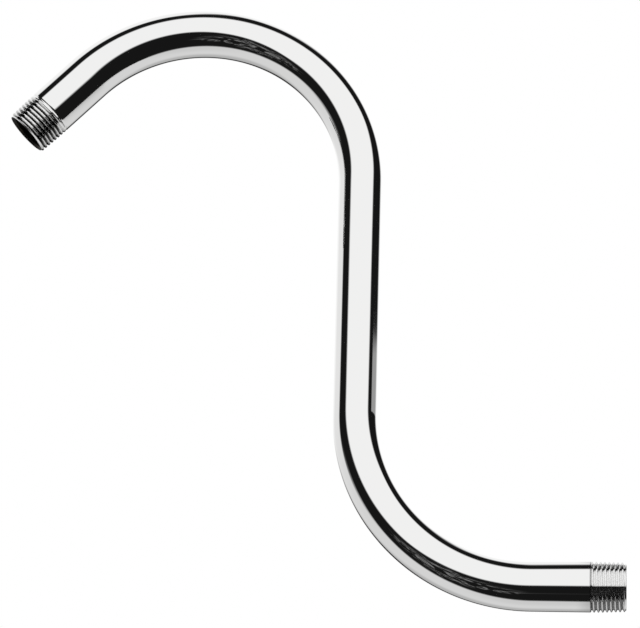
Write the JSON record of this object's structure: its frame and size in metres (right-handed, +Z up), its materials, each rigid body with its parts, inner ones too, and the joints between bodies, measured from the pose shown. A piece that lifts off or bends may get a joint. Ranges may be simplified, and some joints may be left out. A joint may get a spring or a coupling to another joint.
{
  "type": "shower arm",
  "caption": "Chrome-plated S-shaped shower arm: a bent brass tube that rises from a threaded wall end and turns down to a threaded shower end.",
  "frame": {"origin": "centre of the wall end's face, on the axis of the wall thread", "axes": "+X out of the wall end, towards the wall fitting; +Z up along the riser; the S lies in the XZ plane and the shower end points to -X and -Z"},
  "size_m": [0.2702, 0.0212, 0.2738],
  "materials": {
    "chrome": "polished chrome plate on brass"
  },
  "bodies": {
    "root": {"shower_arm": "chrome"}
  },
  "joints": []
}
